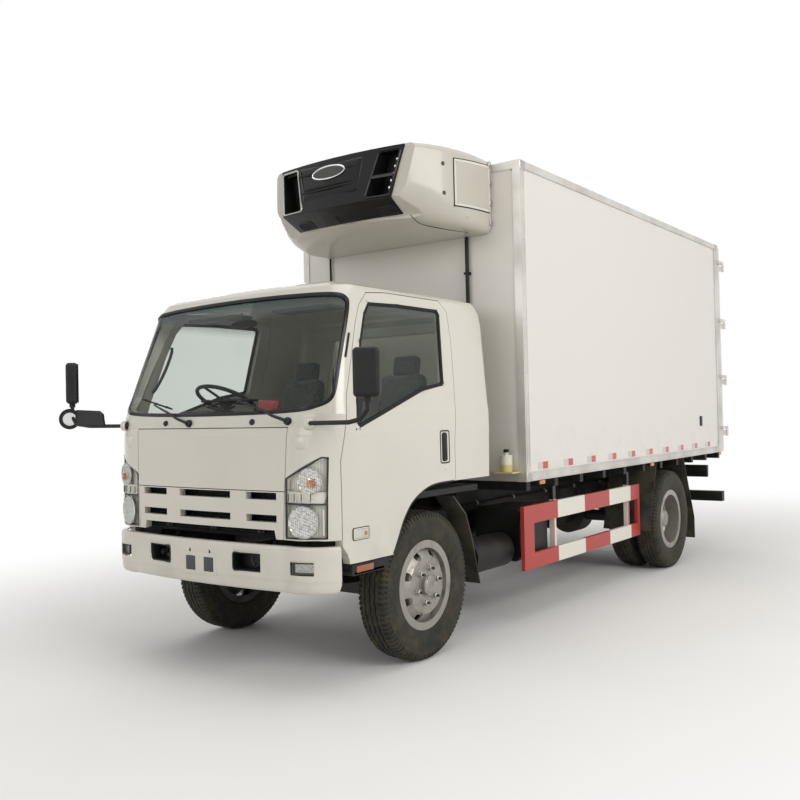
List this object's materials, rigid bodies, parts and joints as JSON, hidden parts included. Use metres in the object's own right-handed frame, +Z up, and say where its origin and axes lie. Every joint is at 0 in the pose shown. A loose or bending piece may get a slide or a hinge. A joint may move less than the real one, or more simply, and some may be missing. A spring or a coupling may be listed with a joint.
{
  "type": "refrigerated truck",
  "caption": "Two-axle rigid truck with a tilting cab over its engine, an insulated box body with rear doors, and a cooling unit on the front wall.",
  "frame": {"origin": "centre of the overall length and width, on the ground under the tyres", "axes": "+X to the truck's left, +Y to its tail, +Z up; the front faces -Y"},
  "size_m": [2.857, 7.1655, 3.545],
  "materials": {
    "white_paint": "gloss white coach paint",
    "box_panel": "smooth white insulated panel",
    "edge_aluminium": "ribbed satin extrusion",
    "chassis_paint": "satin black",
    "cast_metal": "dull black paint",
    "spring_steel": "dark oiled",
    "tyre": "matt tread and satin walls",
    "wheel_paint": "silver paint",
    "glass": "lightly tinted clear glass",
    "lamp": "clear lens over chrome",
    "black_plastic": "fine grain",
    "grey_plastic": "fine grain",
    "seat_cloth": "woven grey cloth",
    "rubber": "matt",
    "unit_shell": "gloss white moulding",
    "guard_steel": "red and white painted bars",
    "white_plastic": "translucent white"
  },
  "bodies": {
    "chassis": {"chassis_frame": "chassis_paint", "box_bearers": "chassis_paint", "front_axle": "cast_metal", "rear_axle": "cast_metal", "leaf_springs": "spring_steel", "engine_block": "cast_metal", "propeller_shaft": "chassis_paint", "exhaust_silencer": "spring_steel", "fuel_tank": "chassis_paint", "battery_box": "black_plastic", "air_tank": "chassis_paint", "front_bumper": "black_plastic", "side_guards": "guard_steel", "rear_underrun_bar": "chassis_paint", "mudguards": "rubber", "box_floor": "box_panel", "box_front_wall": "box_panel", "box_left_wall": "box_panel", "box_right_wall": "box_panel", "box_roof": "box_panel", "rear_frame": "edge_aluminium", "box_edge_trims": "edge_aluminium", "reefer_housing": "unit_shell", "reefer_grille": "black_plastic", "evaporator": "unit_shell", "reefer_hoses": "rubber", "service_bottle": "white_plastic"},
    "cab": {"cab_shell": "white_paint", "cab_floor": "chassis_paint", "cab_roof": "white_paint", "cab_back_panel": "white_paint", "windscreen": "glass", "rear_window": "glass", "grille_panel": "white_paint", "headlamps": "lamp", "dashboard": "grey_plastic", "seats": "seat_cloth", "steering_wheel": "black_plastic", "mirrors": "black_plastic"},
    "front_lid": {"front_lid": "white_paint"},
    "left_door": {"left_door": "white_paint", "left_door_window": "glass"},
    "right_door": {"right_door": "white_paint", "right_door_window": "glass"},
    "rear_left_door": {"rear_left_door": "box_panel"},
    "rear_right_door": {"rear_right_door": "box_panel"},
    "left_knuckle": {"left_knuckle": "cast_metal"},
    "right_knuckle": {"right_knuckle": "cast_metal"},
    "tie_rod": {"tie_rod": "spring_steel"},
    "front_left_wheel": {"front_left_tyre": "tyre", "front_left_rim": "wheel_paint"},
    "front_right_wheel": {"front_right_tyre": "tyre", "front_right_rim": "wheel_paint"},
    "rear_left_wheels": {"rear_left_tyres": "tyre", "rear_left_rims": "wheel_paint"},
    "rear_right_wheels": {"rear_right_tyres": "tyre", "rear_right_rims": "wheel_paint"}
  },
  "joints": [
    {"name": "cab_tilt", "type": "hinge", "parent": "chassis", "child": "cab", "pos_m": [0, -3.467, 0.74], "axis": [1, 0, 0], "range_deg": [0, 45]},
    {"name": "front_lid_hinge", "type": "hinge", "parent": "cab", "child": "front_lid", "pos_m": [0, -3.517, 1.548], "axis": [-1, 0, 0], "range_deg": [0, 70]},
    {"name": "left_door_hinge", "type": "hinge", "parent": "cab", "child": "left_door", "pos_m": [1, -3.347, 1.5], "axis": [0, 0, -1], "range_deg": [0, 70]},
    {"name": "right_door_hinge", "type": "hinge", "parent": "cab", "child": "right_door", "pos_m": [-1, -3.347, 1.5], "axis": [0, 0, 1], "range_deg": [0, 70]},
    {"name": "rear_left_door_hinge", "type": "hinge", "parent": "chassis", "child": "rear_left_door", "pos_m": [1.115, 3.553, 2.29], "axis": [0, 0, -1], "range_deg": [0, 265]},
    {"name": "rear_right_door_hinge", "type": "hinge", "parent": "chassis", "child": "rear_right_door", "pos_m": [-1.115, 3.553, 2.29], "axis": [0, 0, 1], "range_deg": [0, 265]},
    {"name": "left_steer", "type": "hinge", "parent": "chassis", "child": "left_knuckle", "pos_m": [0.735, -2.467, 0.487], "axis": [0, 0, 1], "range_deg": [-36, 36]},
    {"name": "right_steer", "type": "hinge", "parent": "chassis", "child": "right_knuckle", "pos_m": [-0.735, -2.467, 0.487], "axis": [0, 0, 1], "range_deg": [-36, 36]},
    {"name": "tie_rod_pivot", "type": "hinge", "parent": "left_knuckle", "child": "tie_rod", "pos_m": [0.735, -2.302, 0.372], "axis": [0, 0, 1], "range_deg": [-36, 36]},
    {"name": "front_left_spin", "type": "hinge", "parent": "left_knuckle", "child": "front_left_wheel", "pos_m": [0.847, -2.467, 0.487], "axis": [1, 0, 0], "continuous": true},
    {"name": "front_right_spin", "type": "hinge", "parent": "right_knuckle", "child": "front_right_wheel", "pos_m": [-0.847, -2.467, 0.487], "axis": [1, 0, 0], "continuous": true},
    {"name": "rear_left_spin", "type": "hinge", "parent": "chassis", "child": "rear_left_wheels", "pos_m": [0.8675, 1.653, 0.487], "axis": [1, 0, 0], "continuous": true},
    {"name": "rear_right_spin", "type": "hinge", "parent": "chassis", "child": "rear_right_wheels", "pos_m": [-0.8675, 1.653, 0.487], "axis": [1, 0, 0], "continuous": true}
  ],
  "couplings": [
    {"joint": "right_steer", "follows": "left_steer", "ratio": 1},
    {"joint": "tie_rod_pivot", "follows": "left_steer", "ratio": -1}
  ]
}
